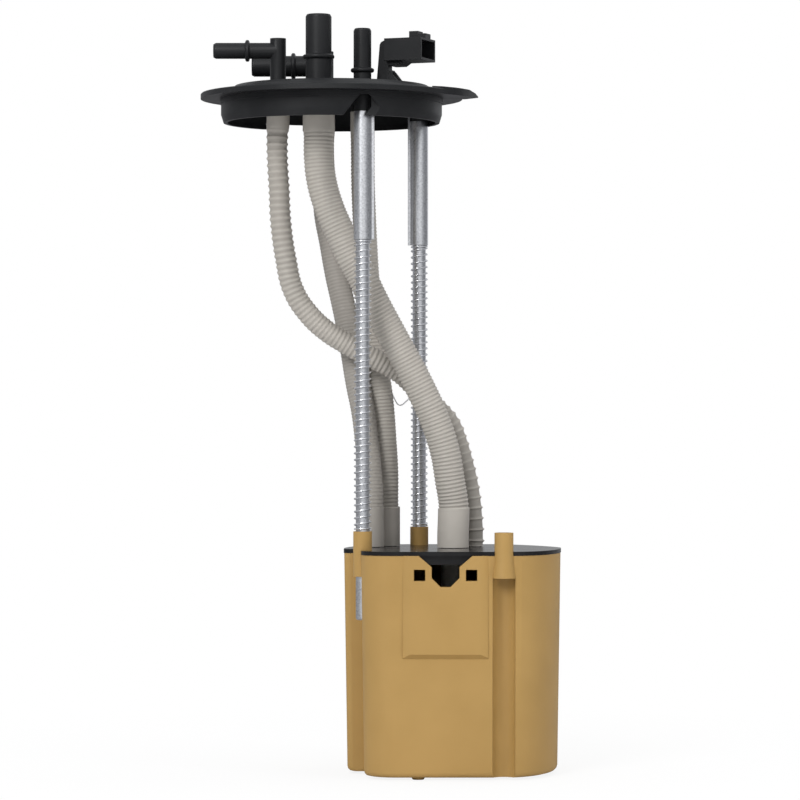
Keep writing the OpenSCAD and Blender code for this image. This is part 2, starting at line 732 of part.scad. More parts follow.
// Raised seat on the cup's front, with sloping sides and a sloping foot
module sender_seat() {
    foot_w = seat_w + 9;
    face_y = cup_front_y - seat_t;
    translate([window_x, 0, plate_z]) intersection() {
        mirror([0, 0, 1]) linear_extrude(seat_h + 3) translate([0, face_y]) polygon([
            [-seat_w / 2, 0], [seat_w / 2, 0], [foot_w / 2, seat_t], [foot_w / 2, seat_t + 4],
            [-foot_w / 2, seat_t + 4], [-foot_w / 2, seat_t]
        ]);
        rotate([90, 0, 90]) translate([0, 0, -foot_w / 2]) linear_extrude(foot_w) polygon([
            [face_y, 0], [face_y, -seat_h + 1.5], [cup_front_y + 1, -seat_h - 1.5],
            [cup_front_y + 4, -seat_h - 1.5], [cup_front_y + 4, 0]
        ]);
    }
}

module reservoir_cup() {
    color([0.7, 0.57, 0.35]) difference() {
        union() {
            difference() {
                union() {
                    cup_solid();
                    sender_seat();
                }
                cup_cavity();
                // Grooves in which the rods run free
                at_bosses() translate([0, 0, cup_bottom_z - 1])
                    cylinder(r = groove_r, h = boss_bottom_z - cup_bottom_z + 1);
                translate([rear_rod_x - groove_r, rear_rod_y, cup_bottom_z - 1])
                    cube([2 * groove_r, 40, boss_bottom_z - cup_bottom_z + 1]);
            }
            at_bosses() translate([0, 0, boss_bottom_z]) cylinder(r = boss_r, h = boss_len);
            // The spare boss flares out to its groove under the lid
            translate([spare_boss[0], spare_boss[1], boss_bottom_z]) rotate_extrude() polygon([
                [boss_r - 1, 0], [groove_r, 0], [boss_r, plate_z - 3 - boss_bottom_z],
                [boss_r - 1, plate_z - 3 - boss_bottom_z]
            ]);
            for (p = feet) {
                translate([p[0], p[1], cup_bottom_z - foot_h]) cylinder(r1 = 3.3, r2 = 4.5, h = foot_h + 0.5);
            }
            // Pad for the level sender on the back
            translate([pivot[0] - pad_w / 2, cup_back_y - 6, pivot[1] - pad_h / 2])
                cube([pad_w, pad_y - cup_back_y + 6, pad_h]);
        }
        at_bosses() translate([0, 0, boss_bottom_z - 1]) cylinder(r = bore_r, h = boss_len + 2);
        for (p = [front_rod, rear_rod]) {
            translate([p[0], p[1], boss_bottom_z - 1]) cylinder(r = clip_r + 0.15, h = clip_recess + 1);
        }
        // Latch windows and the notch under the lid
        for (side = [-1, 1]) {
            translate([window_x + side * window_span / 2, cup_front_y, window_z])
                cube([window_w, 20, window_w], center = true);
        }
        translate([window_x, cup_front_y + 10, plate_z]) rotate([90, 0, 0]) linear_extrude(20) polygon([
            [-notch_w / 2, 1], [-notch_w / 2, 0], [-8.1, -6.5], [-8.1, -notch_h + 5.2], [-2.9, -notch_h],
            [2.9, -notch_h], [8.1, -notch_h + 5.2], [8.1, -6.5], [notch_w / 2, 0], [notch_w / 2, 1]
        ]);
        // Inlet holes in the floor round the foot valve's stem
        translate([middle_stub[0] + 30, middle_stub[1], cup_bottom_z - 1]) {
            cylinder(r = 1.6, h = cup_floor + 2);
            for (a = [0 : 90 : 270]) {
                rotate([0, 0, a]) translate([4.2, 0, 0]) cylinder(r = 1.5, h = cup_floor + 2);
            }
        }
    }
}

// Plan of the lid: the cup's plan, open round the bosses
module lid_plan(grow) {
    difference() {
        offset(delta = grow) polygon(cup_plan);
        for (p = [front_rod, rear_rod, spare_boss]) {
            translate(p) circle(r = boss_r + 0.3);
        }
    }
}

module reservoir_lid() {
    stubs = [
        [small_stub, small_tail_r], [rear_stub, rear_tail_r],
        [large_stub, large_tail_r], [middle_stub, middle_tail_r]
    ];
    color([0.08, 0.08, 0.085]) difference() {
        union() {
            translate([0, 0, plate_z]) linear_extrude(lid_t) lid_plan(lid_overhang);
            translate([0, 0, plate_z - lid_skirt]) linear_extrude(lid_skirt + 0.5) difference() {
                offset(delta = -cup_wall - 0.4) polygon(cup_plan);
                offset(delta = -cup_wall - 0.4 - lid_skirt_wall) polygon(cup_plan);
                for (p = [front_rod, rear_rod, spare_boss]) {
                    translate(p) circle(r = groove_r + cup_wall + 0.4);
                }
                translate([rear_rod_x - groove_r - cup_wall - 0.4, rear_rod_y])
                    square([2 * (groove_r + cup_wall + 0.4), 40]);
            }
            for (s = stubs) {
                translate([s[0][0], s[0][1], plate_z]) cylinder(r = s[1], h = stub_top_z - plate_z);
            }
        }
        for (s = stubs) {
            translate([s[0][0], s[0][1], plate_z - 1])
                cylinder(r = s[1] - nipple_wall, h = stub_top_z - plate_z + 2);
        }
    }
}

// Stand tube from the large stub down to the strainer
module pickup_tube() {
    low_z = cup_bottom_z + cup_floor + 9.3;
    color([0.85, 0.84, 0.8]) translate([large_stub[0], large_stub[1], low_z]) difference() {
        cylinder(r = large_tail_r, h = plate_z - 0.1 - low_z);
        translate([0, 0, -1]) cylinder(r = large_tail_r - nipple_wall, h = cup_h + 2);
    }
}

module pickup_strainer() {
    z = cup_bottom_z + cup_floor + 0.3;
    bag_len = 56;
    bag_w = 28;
    color([0.85, 0.85, 0.82]) translate([large_stub[0], large_stub[1], z]) difference() {
        union() {
            translate([-bag_w / 2, -bag_w / 2, 0]) cube([bag_len, bag_w, 7]);
            cylinder(r = large_tail_r + 1.5, h = 8.9);
        }
        translate([0, 0, 4]) cylinder(r = large_tail_r - nipple_wall, h = 10);
    }
}

// Return pipe and the jet body that it drives on the cup's floor
module jet_pump() {
    floor_z = cup_bottom_z + cup_floor;
    body_len = 30;
    body_w = 12;
    body_h = 11;
    color([0.16, 0.16, 0.17]) translate([rear_stub[0], rear_stub[1], floor_z]) difference() {
        union() {
            translate([0, 0, 0.1]) cylinder(r = rear_tail_r, h = plate_z - floor_z - 0.2);
            translate([-4, -body_w / 2, 0.1]) cube([body_len, body_w, body_h]);
        }
        translate([0, 0, body_h / 2 + 0.5]) cylinder(r = rear_tail_r - nipple_wall, h = cup_h);
        translate([0, 0, body_h / 2]) rotate([0, 90, 0]) cylinder(r = 2.5, h = body_len + 10);
    }
}

// Umbrella valve: a rubber disc over the floor's inlet holes, held by its stem
module foot_valve() {
    z = cup_bottom_z + cup_floor;
    color([0.12, 0.12, 0.12]) translate([middle_stub[0] + 30, middle_stub[1], 0]) {
        translate([0, 0, z + 0.1]) cylinder(r1 = 7, r2 = 2, h = 1.8);
        translate([0, 0, cup_bottom_z - 0.3]) cylinder(r = 1.5, h = cup_floor + 1);
        translate([0, 0, cup_bottom_z - 1.1]) cylinder(r1 = 1.6, r2 = 2.2, h = 1);
    }
}

// Level sender: body with its pivot pin, resistor card, wiper and float arm
module sender_body() {
    pin_len = hub_t + 1.2;
    color([0.13, 0.13, 0.135]) translate([pivot[0], sender_y, pivot[1]]) rotate([90, 0, 0]) {
        translate([-sender_w / 2, -sender_h / 2, 0]) cube([sender_w, sender_h, sender_t - socket_gap]);
        mirror([0, 0, 1]) cylinder(r = pivot_r, h = pin_len);
        mirror([0, 0, 1]) translate([0, 0, pin_len - 0.5])
            cylinder(r1 = pivot_r + 0.6, r2 = pivot_r, h = 1.3);
    }
}

module resistor_card() {
    color([0.85, 0.83, 0.75]) translate([pivot[0] + 8.5, sender_y + socket_gap, pivot[1] - 8]) {
        cube([6, card_t, 24]);
    }
}

module sender_hub() {
    color([0.85, 0.85, 0.83]) difference() {
        translate([pivot[0], hub_y, pivot[1]]) rotate([-90, 0, 0]) cylinder(r = hub_r, h = hub_t);
        translate([pivot[0], hub_y - 1, pivot[1]]) rotate([-90, 0, 0])
            cylinder(r = pivot_r + slip, h = hub_t + 2);
        // Socket for the arm's wire
        translate([pivot[0], arm_y, pivot[1]]) rotate([0, 90 - arm_rest, 0]) translate([0, 0, 3])
            cylinder(r = arm_r + socket_gap, h = hub_r, $fn = 24);
    }
}

// Sprung contact on the hub, opposite the arm, just over the card
module wiper() {
    color([0.8, 0.72, 0.45]) translate([pivot[0], arm_y - 0.3, pivot[1]]) rotate([0, 90 - arm_rest + 180, 0])
        translate([-1.5, 0, hub_r + 0.05]) cube([3, 0.5, 7]);
}

module float_arm() {
    color([0.78, 0.79, 0.81]) {
        translate([pivot[0], arm_y, pivot[1]]) rotate([0, 90 - arm_rest, 0]) translate([0, 0, 3.3])
            cylinder(r = arm_r, h = arm_len - 3.3, $fn = 24);
        translate([arm_end[0], arm_y, arm_end[1]]) sphere(r = arm_r, $fn = 24);
        translate([arm_end[0], arm_y, arm_end[1]]) rotate([-90, 0, 0])
            cylinder(r = arm_r, h = float_len + 6, $fn = 24);
    }
}

module float() {
    color([0.1, 0.1, 0.1]) translate([arm_end[0], float_y, arm_end[1]]) rotate([-90, 0, 0]) difference() {
        rotate_extrude() polygon([
            [0, 0], [float_r - 1.5, 0], [float_r, 1.5], [float_r, float_len - 1.5],
            [float_r - 1.5, float_len], [0, float_len]
        ]);
        translate([0, 0, -1]) cylinder(r = arm_r + slip, h = float_len + 2);
    }
}

flange_cover();
small_elbow_port();
rear_elbow_port();
large_port();
middle_port();
plug_housing();
plug_terminals();
front_guide_rod();
rear_guide_rod();
front_rod_sleeve();
rear_rod_sleeve();
front_spring();
rear_spring();
rod_clips();
small_hose();
large_hose();
rear_hose();
middle_hose();
sender_lead();
reservoir_cup();
reservoir_lid();
pickup_tube();
pickup_strainer();
jet_pump();
foot_valve();
sender_body();
resistor_card();
sender_hub();
wiper();
float_arm();
float();
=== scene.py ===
import math

import bmesh
import bpy
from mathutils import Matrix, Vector


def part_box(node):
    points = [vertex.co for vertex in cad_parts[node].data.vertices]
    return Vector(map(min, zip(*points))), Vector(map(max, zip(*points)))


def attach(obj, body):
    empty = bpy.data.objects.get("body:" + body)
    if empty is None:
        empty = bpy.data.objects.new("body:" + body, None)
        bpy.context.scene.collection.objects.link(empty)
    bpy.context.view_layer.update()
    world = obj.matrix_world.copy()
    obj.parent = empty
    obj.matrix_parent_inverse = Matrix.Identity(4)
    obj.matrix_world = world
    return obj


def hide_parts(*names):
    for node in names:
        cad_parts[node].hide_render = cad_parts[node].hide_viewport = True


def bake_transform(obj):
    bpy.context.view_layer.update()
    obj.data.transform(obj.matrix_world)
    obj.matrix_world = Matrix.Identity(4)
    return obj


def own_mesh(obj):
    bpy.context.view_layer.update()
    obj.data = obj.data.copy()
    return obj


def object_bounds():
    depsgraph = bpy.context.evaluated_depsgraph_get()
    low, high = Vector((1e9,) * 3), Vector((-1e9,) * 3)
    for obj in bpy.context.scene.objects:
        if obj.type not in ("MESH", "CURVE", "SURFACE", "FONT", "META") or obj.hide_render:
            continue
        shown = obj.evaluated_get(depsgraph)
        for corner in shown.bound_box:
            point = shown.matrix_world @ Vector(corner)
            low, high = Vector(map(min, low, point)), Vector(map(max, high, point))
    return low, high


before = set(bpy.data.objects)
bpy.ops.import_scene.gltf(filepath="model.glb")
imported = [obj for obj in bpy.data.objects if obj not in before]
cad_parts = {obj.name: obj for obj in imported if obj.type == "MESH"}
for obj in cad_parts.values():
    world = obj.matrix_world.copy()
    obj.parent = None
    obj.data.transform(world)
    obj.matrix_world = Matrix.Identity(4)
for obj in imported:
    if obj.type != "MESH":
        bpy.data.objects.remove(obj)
cad_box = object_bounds()
scene = bpy.context.scene


# Studio
# A white table and background, as in a catalogue picture, with soft lamps from the upper left,
# from the right and from above. The camera is level, at the photograph's distance and height.
class Wire:
    """What a node gives out, on which plain sums build Math nodes."""

    def __init__(self, web, socket):
        self.web = web
        self.socket = socket

    def maths(self, operation, a, b):
        return self.web.add("ShaderNodeMath", {0: a, 1: b}, operation=operation)

    def __add__(self, other):
        return self.maths("ADD", self, other)

    def __sub__(self, other):
        return self.maths("SUBTRACT", self, other)

    def __rsub__(self, other):
        return self.maths("SUBTRACT", other, self)

    def __mul__(self, other):
        return self.maths("MULTIPLY", self, other)

    def __truediv__(self, other):
        return self.maths("DIVIDE", self, other)

    def __rtruediv__(self, other):
        return self.maths("DIVIDE", other, self)

    def __pow__(self, other):
        return self.maths("POWER", self, other)

    __radd__ = __add__
    __rmul__ = __mul__


class Web:
    """A node tree. add() makes any node from its type, its settings and its sockets."""

    def __init__(self, tree):
        self.tree = tree
        tree.nodes.clear()

    def add(self, kind, sockets=None, out=0, stops=(), **settings):
        node = self.tree.nodes.new(kind)
        for name, value in settings.items():
            setattr(node, name, value)
        for i, (place, colour) in enumerate(stops):
            stop = node.color_ramp.elements[i] if i < 2 else node.color_ramp.elements.new(place)
            stop.position = place
            stop.color = (*colour, 1)
        for key, value in (sockets or {}).items():
            if isinstance(value, Wire):
                self.tree.links.new(value.socket, node.inputs[key])
            else:
                node.inputs[key].default_value = value
        return Wire(self, node.outputs[out] if node.outputs else None)


eye = bpy.data.objects.new("studio_camera", bpy.data.cameras.new("studio_camera"))
scene.collection.objects.link(eye)
eye.location = (0.0411, -2.1, -0.1803)
eye.rotation_euler = (math.pi / 2, 0, 0)
eye.data.sensor_width = 36
eye.data.lens = 157.4
eye.data.clip_end = 50
scene.camera = eye
scene.view_settings.view_transform = "Standard"


def lamp(name, place, aim, size, power, mirrored=True):
    """A soft oblong lamp in watts, which polished faces may mirror or not."""
    light = bpy.data.lights.new(name, "AREA")
    light.shape = "RECTANGLE"
    light.size, light.size_y = size
    light.energy = power
    holder = bpy.data.objects.new(name, light)
    scene.collection.objects.link(holder)
    holder.location = place
    holder.rotation_euler = (Vector(aim) - Vector(place)).to_track_quat("-Z", "Y").to_euler()
    holder.visible_glossy = mirrored


middle = (0.04, 0, -0.2)
lamp("key_lamp", (-0.85, -1.75, 1.0), middle, (0.7, 0.9), 33)
lamp("fill_lamp", (1.7, -1.2, 0.2), middle, (0.35, 1.6), 12, mirrored=False)
lamp("top_lamp", (0.1, 0.2, 1.6), middle, (1.4, 1.0), 15, mirrored=False)

scene.world = bpy.data.worlds.new("white_room")
scene.world.use_nodes = True
white_room = Web(scene.world.node_tree)
rays = white_room.add("ShaderNodeLightPath").socket.node
seen = Wire(white_room, rays.outputs["Is Camera Ray"])
mirrored = Wire(white_room, rays.outputs["Is Glossy Ray"])
passed = Wire(white_room, rays.outputs["Is Transmission Ray"])
soft_light = white_room.add(
    "ShaderNodeBackground", {"Color": (0.45, 0.455, 0.47, 1), "Strength": 1.0})
# Metal mirrors grey bands that change with the bearing: 0.25 is the left, 0.5 the front and
# 0.75 the right. They are darker towards the table.
ray_split = white_room.add(
    "ShaderNodeSeparateXYZ", {0: white_room.add("ShaderNodeTexCoord", out=0)})
ray_x, ray_y, ray_z = (Wire(white_room, way) for way in ray_split.socket.node.outputs)
swing = white_room.add("ShaderNodeMath", {0: ray_x, 1: 0 - ray_y}, operation="ARCTAN2")
bearing = swing / (2 * math.pi) + 0.5
mirror_bands = white_room.add(
    "ShaderNodeValToRGB", {"Fac": bearing},
    stops=[
        (0.0, (0.3, 0.305, 0.31)), (1.0, (0.3, 0.305, 0.31)), (0.1, (0.36, 0.365, 0.38)),
        (0.36, (0.3, 0.305, 0.315)), (0.45, (0.62, 0.63, 0.65)), (0.54, (1.0, 1.0, 1.0)),
        (0.61, (0.6, 0.61, 0.63)), (0.67, (0.27, 0.275, 0.285)), (0.83, (0.22, 0.225, 0.235)),
        (0.9, (0.8, 0.81, 0.83)), (0.95, (0.5, 0.505, 0.51)),
    ])
lift = white_room.add("ShaderNodeMath", {0: ray_z * 0.9, 1: 0.8}, operation="ADD", use_clamp=True)
mirror_light = white_room.add("ShaderNodeBackground", {"Color": mirror_bands, "Strength": lift * 1.55})
plain_white = white_room.add("ShaderNodeBackground", {"Color": (1, 1, 1, 1), "Strength": 1.0})
unlit = white_room.add("ShaderNodeMixShader", {0: mirrored + passed, 1: soft_light, 2: mirror_light})
behind = white_room.add("ShaderNodeMixShader", {0: seen, 1: unlit, 2: plain_white})
white_room.add("ShaderNodeOutputWorld", {"Surface": behind})

# The table is plain white to the camera, and takes a faint shade only round the unit's foot.
table_z = cad_box[0].z
table_reach = 9.0
table_mesh = bpy.data.meshes.new("white_table")
table_form = bmesh.new()
bmesh.ops.create_circle(table_form, cap_ends=True, segments=96, radius=table_reach)
bmesh.ops.translate(table_form, verts=table_form.verts, vec=(0.04, 0, table_z))
table_form.to_mesh(table_mesh)
table_form.free()
white_table = bpy.data.objects.new("white_table", table_mesh)
scene.collection.objects.link(white_table)
table_paint = bpy.data.materials.new("table_white")
table_paint.use_nodes = True
table_web = Web(table_paint.node_tree)
table_rays = table_web.add("ShaderNodeLightPath").socket.node
table_seen = Wire(table_web, table_rays.outputs["Is Camera Ray"])
table_mirrored = Wire(table_web, table_rays.outputs["Is Glossy Ray"])
place = table_web.add("ShaderNodeTexCoord", out=3)
near = table_web.add(
    "ShaderNodeMapping", {"Vector": place, "Location": (-0.08, 0.03, 0), "Scale": (2.2, 2.2, 0)})
fade = table_web.add("ShaderNodeTexGradient", {"Vector": near}, out=1, gradient_type="SPHERICAL")
# The table shows its pale grey to lit rays but a darker grey to glossy rays: a painted shade in what the
# undersides of the wires and mouldings mirror.
pale_with_mirrored_shade = table_web.add(
    "ShaderNodeMix", {0: table_mirrored, 6: (0.86, 0.86, 0.86, 1), 7: (0.42, 0.42, 0.43, 1)},
    out=2, data_type="RGBA")
matt = table_web.add("ShaderNodeBsdfDiffuse", {"Color": pale_with_mirrored_shade})
glow = table_web.add("ShaderNodeEmission", {"Color": (1, 1, 1, 1), "Strength": 1.0})
shown = table_web.add("ShaderNodeMixShader", {0: table_seen * (1 - 0.15 * fade), 1: matt, 2: glow})
table_web.add("ShaderNodeOutputMaterial", {"Surface": shown})
table_mesh.materials.append(table_paint)


# Cover
# The round cover that seats on the tank, moulded in glass-filled black nylon. Its skirt enters
# the neck of the tank, two bosses under it hold the guide rods, and a ring clamps its lip.
merge_reach = 2e-6
flat_angle = math.radians(0.05)
smooth_margin = 10


def finished(name, node, body, material, edge=0.00025, crease=35):
    """A copy of a CAD node with merged points, small round edges and smooth curved faces."""
    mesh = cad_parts[node].data.copy()
    form = bmesh.new()
    form.from_mesh(mesh)
    bmesh.ops.remove_doubles(form, verts=form.verts, dist=merge_reach)
    bmesh.ops.dissolve_limit(form, angle_limit=flat_angle, verts=form.verts, edges=form.edges)
    form.to_mesh(mesh)
    form.free()
    mesh.materials.clear()
    mesh.materials.append(material)
    for face in mesh.polygons:
        face.material_index = 0
    mesh.shade_smooth()
    piece = bpy.data.objects.new(name, mesh)
    scene.collection.objects.link(piece)
    if edge:
        rounding = piece.modifiers.new("edge", "BEVEL")
        rounding.width = edge
        rounding.segments = 2
        rounding.limit_method = "ANGLE"
        rounding.angle_limit = math.radians(crease)
        rounding.use_clamp_overlap = True
    even = piece.modifiers.new("even", "WEIGHTED_NORMAL")
    even.keep_sharp = True
    bpy.context.view_layer.update()
    mesh.set_sharp_from_angle(angle=math.radians(crease + smooth_margin))
    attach(piece, body)
    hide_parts(node)


def skin(name, **constants):
    """A new material with the constants of its Principled shader, and the web to link it in."""
    material = bpy.data.materials.new(name)
    material.use_nodes = True
    web = Web(material.node_tree)
    shader = web.add("ShaderNodeBsdfPrincipled")
    web.add("ShaderNodeOutputMaterial", {"Surface": shader})
    web.shader = shader.socket.node
    web.at = web.add("ShaderNodeTexCoord", out=3)
    for socket, value in constants.items():
        web.shader.inputs[socket.replace("_", " ")].default_value = value
    return material, web


def feed(web, socket, wire):
    """Link a wire to a socket of the skin's shader."""
    web.tree.links.new(wire.socket, web.shader.inputs[socket])


def grain(web, scale, detail, **more):
    """Noise on the piece's own coordinates."""
    sockets = {"Vector": web.at, "Scale": scale, "Detail": detail, **more}
    return web.add("ShaderNodeTexNoise", sockets)


def tint(web, wire, *stops):
    """Colour the skin between two tones, each given with its place on the ramp."""
    feed(web, "Base Color", web.add("ShaderNodeValToRGB", {"Fac": wire}, stops=stops))


def relief(web, height, strength, distance):
    """Fine relief, with the distance in metres."""
    feed(web, "Normal", web.add(
        "ShaderNodeBump", {"Height": height, "Strength": strength, "Distance": distance}))


nylon, nylon_web = skin("black_nylon", Specular_IOR_Level=0.18)
clouds = grain(nylon_web, 45.0, 4.0)
fibres = grain(nylon_web, 1400.0, 3.0)
tint(nylon_web, clouds, (0.3, (0.010, 0.0105, 0.0115)), (0.7, (0.017, 0.0175, 0.0185)))
feed(nylon_web, "Roughness", 0.3 + 0.2 * clouds + 0.06 * fibres)
relief(nylon_web, fibres, 0.18, 0.0001)

finished("cover_moulding", "flange_cover", "flange", nylon)


# Hose ports
# Four moulded nipples on the cover, two upright and two turned to the left, each with the bead
# that locks its quick connector. Their tails reach through the deck and carry the hoses.
for part in ("small_elbow_port", "rear_elbow_port", "large_port", "middle_port"):
    finished(part.replace("_port", "_nipple"), part, "flange", nylon)


# Plug socket
# The square socket of the sender's wiring, with the latch ramp on its top, welded to the deck.
# Its terminals are tin plated brass blades that are pressed into the back wall.
finished("socket_moulding", "plug_housing", "flange", nylon, edge=0.0006)

plating, plating_web = skin("tin_plating", Metallic=1.0, Roughness=0.3)
plating_haze = grain(plating_web, 600.0, 3.0)
tint(plating_web, plating_haze, (0.3, (0.55, 0.46, 0.28)), (0.7, (0.7, 0.62, 0.42)))
feed(plating_web, "Roughness", 0.2 + 0.25 * plating_haze)
finished("socket_blades", "plug_terminals", "flange", plating, edge=0.00008)


# Guide rods, sleeves and clips
# Two steel rods that are pressed into the cover, each with a rolled spacer sleeve under its boss
# and a snap ring near its end. All are zinc plated, which leaves a bright, slightly mottled face.
zinc, zinc_web = skin("zinc_plate", Metallic=1.0, Roughness=0.3)
spangle = grain(zinc_web, 900.0, 4.0, Roughness=0.7)
drawn_at = zinc_web.add("ShaderNodeMapping", {"Vector": zinc_web.at, "Scale": (1.0, 1.0, 0.04)})
drawn = grain(zinc_web, 1800.0, 3.0, Vector=drawn_at)
tint(zinc_web, spangle, (0.32, (0.45, 0.46, 0.48)), (0.68, (0.72, 0.73, 0.75)))
feed(zinc_web, "Roughness", 0.2 + 0.22 * spangle)
relief(zinc_web, 0.6 * spangle + 0.4 * drawn, 0.35, 0.0001)

finished("front_rod_bar", "front_guide_rod", "flange", zinc)
finished("rear_rod_bar", "rear_guide_rod", "flange", zinc)
finished("front_spacer", "front_rod_sleeve", "flange", zinc)
finished("rear_spacer", "rear_rod_sleeve", "flange", zinc)
finished("snap_rings", "rod_clips", "flange", zinc, edge=0.00008)


# Guide springs
# Compression springs of 1 mm plated wire between the sleeves and the bosses of the reservoir,
# with one closed turn at each end. They press the reservoir down on the floor of the tank.
wire_d = 0.001
spring_gap = 0.0002
rod_radius = 0.004
spring_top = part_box("front_spring")[1].z
spring_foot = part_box("front_spring")[0].z
closed_rise = wire_d + 0.00015
coil_pitch = 0.0038
coil_points = 1150
coil_sides = 10


def grown(name, seed_curve, tree, values, material):
    """The plain mesh that a Geometry Nodes tree makes from a curve, with its inputs set by name."""
    holder = bpy.data.objects.new(name + "_seed", seed_curve)
    scene.collection.objects.link(holder)
    growth = holder.modifiers.new("growth", "NODES")
    growth.node_group = tree
    sockets = {s.name: s.identifier for s in tree.interface.items_tree if s.in_out == "INPUT"}
    for label, value in {**values, "Material": material}.items():
        growth[sockets[label]] = value
    graph = bpy.context.evaluated_depsgraph_get()
    mesh = bpy.data.meshes.new_from_object(holder.evaluated_get(graph), depsgraph=graph)
    mesh.name = name
    bpy.data.objects.remove(holder)
    piece = bpy.data.objects.new(name, mesh)
    scene.collection.objects.link(piece)
    return piece


def new_tree(name, numbers):
    """A Geometry Nodes tree with named number inputs, its web and its inputs by name."""
    tree = bpy.data.node_groups.new(name, "GeometryNodeTree")
    tree.interface.new_socket("Geometry", in_out="INPUT", socket_type="NodeSocketGeometry")
    for label in numbers:
        tree.interface.new_socket(label, in_out="INPUT", socket_type="NodeSocketFloat")
    tree.interface.new_socket("Material", in_out="INPUT", socket_type="NodeSocketMaterial")
    tree.interface.new_socket("Geometry", in_out="OUTPUT", socket_type="NodeSocketGeometry")
    web = Web(tree)
    entry = web.add("NodeGroupInput").socket.node
    return tree, web, {s.name: Wire(web, s) for s in entry.outputs}


def route_curve(name, points):
    """A smooth curve through points that are given in millimetres."""
    curve = bpy.data.curves.new(name, "CURVE")
    curve.dimensions = "3D"
    spline = curve.splines.new("BEZIER")
    spline.resolution_u = 24
    spline.bezier_points.add(len(points) - 1)
    for knot, point in zip(spline.bezier_points, points):
        knot.co = Vector(point) / 1000
        knot.handle_left_type = knot.handle_right_type = "AUTO"
    return curve


coil_tree, coil, size = new_tree(
    "wound_spring", ["Wire", "Coil Radius", "Turns", "Rise", "Closed Rise"])
steps = coil.add("GeometryNodeResampleCurve", {"Curve": size["Geometry"], "Count": coil_points})
turn = coil.add("GeometryNodeSplineParameter") * size["Turns"]
first = coil.add("ShaderNodeMath", {0: turn, 1: 1.0}, operation="MINIMUM")
last = coil.add("ShaderNodeMath", {0: turn - (size["Turns"] - 1), 1: 0.0}, operation="MAXIMUM")
open_turns = turn - first - last
pitch = (size["Rise"] - 2 * size["Closed Rise"]) / (size["Turns"] - 2)
height = (first + last) * size["Closed Rise"] + open_turns * pitch
angle = turn * (2 * math.pi)
spot = coil.add("ShaderNodeCombineXYZ", {
    "X": size["Coil Radius"] * coil.add("ShaderNodeMath", {0: angle}, operation="COSINE"),
    "Y": size["Coil Radius"] * coil.add("ShaderNodeMath", {0: angle}, operation="SINE"),
    "Z": height,
})
start = coil.add("GeometryNodeInputPosition")
foot = coil.add(
    "GeometryNodeSampleCurve", {"Curves": size["Geometry"], "Value": start, "Factor": 0.0},
    out="Value", data_type="FLOAT_VECTOR", mode="FACTOR")
centred = coil.add("ShaderNodeVectorMath", {0: spot, 1: foot}, operation="ADD")
wound = coil.add("GeometryNodeSetPosition", {"Geometry": steps, "Position": centred})
ring = coil.add(
    "GeometryNodeCurvePrimitiveCircle", {"Resolution": coil_sides, "Radius": size["Wire"] / 2})
tube = coil.add("GeometryNodeCurveToMesh", {"Curve": wound, "Profile Curve": ring, "Fill Caps": True})
smooth = coil.add("GeometryNodeSetShadeSmooth", {"Geometry": tube})
solid = coil.add("GeometryNodeRealizeInstances", {"Geometry": smooth})
plated = coil.add("GeometryNodeSetMaterial", {"Geometry": solid, "Material": size["Material"]})
coil.add("NodeGroupOutput", {"Geometry": plated})

bright_wire, wire_web = skin("bright_wire", Metallic=1.0)
wire_haze = grain(wire_web, 1100.0, 3.0)
tint(wire_web, wire_haze, (0.3, (0.66, 0.67, 0.69)), (0.7, (0.86, 0.87, 0.89)))
feed(wire_web, "Roughness", 0.16 + 0.16 * wire_haze)

coil_rise = spring_top - spring_foot - wire_d
coil_turns = round((coil_rise - 2 * closed_rise) / coil_pitch) + 2
for side, rod in (("front", "front_guide_rod"), ("rear", "rear_guide_rod")):
    low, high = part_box(rod)
    axis_x, axis_y = (low.x + high.x) / 2, (low.y + high.y) / 2
    line = route_curve(side + "_coil", [
        (axis_x * 1000, axis_y * 1000, (spring_foot + wire_d / 2) * 1000),
        (axis_x * 1000, axis_y * 1000, spring_top * 1000),
    ])
    spring = grown(side + "_coil", line, coil_tree, {
        "Wire": wire_d, "Coil Radius": rod_radius + spring_gap + wire_d / 2, "Turns": float(coil_turns),
        "Rise": coil_rise, "Closed Rise": closed_rise,
    }, bright_wire)
    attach(spring, "flange")
    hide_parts(side + "_spring")
    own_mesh(spring)


# Reservoir cup
# The cup that stands on the floor of the tank and keeps fuel round the pickup, moulded in tan
# acetal with the bosses that slide on the rods, the grooves under them and the feet.
acetal, acetal_web = skin("tan_acetal", Specular_IOR_Level=0.2)
flow = grain(acetal_web, 22.0, 5.0)
tint(acetal_web, flow, (0.25, (0.35, 0.216, 0.07)), (0.75, (0.405, 0.253, 0.086)))
feed(acetal_web, "Roughness", 0.42 + 0.16 * flow)
relief(acetal_web, grain(acetal_web, 1600.0, 2.0), 0.08, 0.0001)
finished("cup_moulding", "reservoir_cup", "reservoir", acetal, edge=0.0004)


# Reservoir lid
# The black lid that snaps into the cup, moulded in acetal with a mirror-smooth top. Its stubs
# carry the lower ends of the hoses.
gloss, gloss_web = skin("black_acetal", Specular_IOR_Level=0.27)
ripple = grain(gloss_web, 60.0, 3.0)
tint(gloss_web, ripple, (0.3, (0.008, 0.008, 0.0085)), (0.7, (0.014, 0.014, 0.0145)))
feed(gloss_web, "Roughness", 0.1 + 0.12 * ripple)
relief(gloss_web, ripple, 0.05, 0.0004)
finished("lid_moulding", "reservoir_lid", "reservoir", gloss)


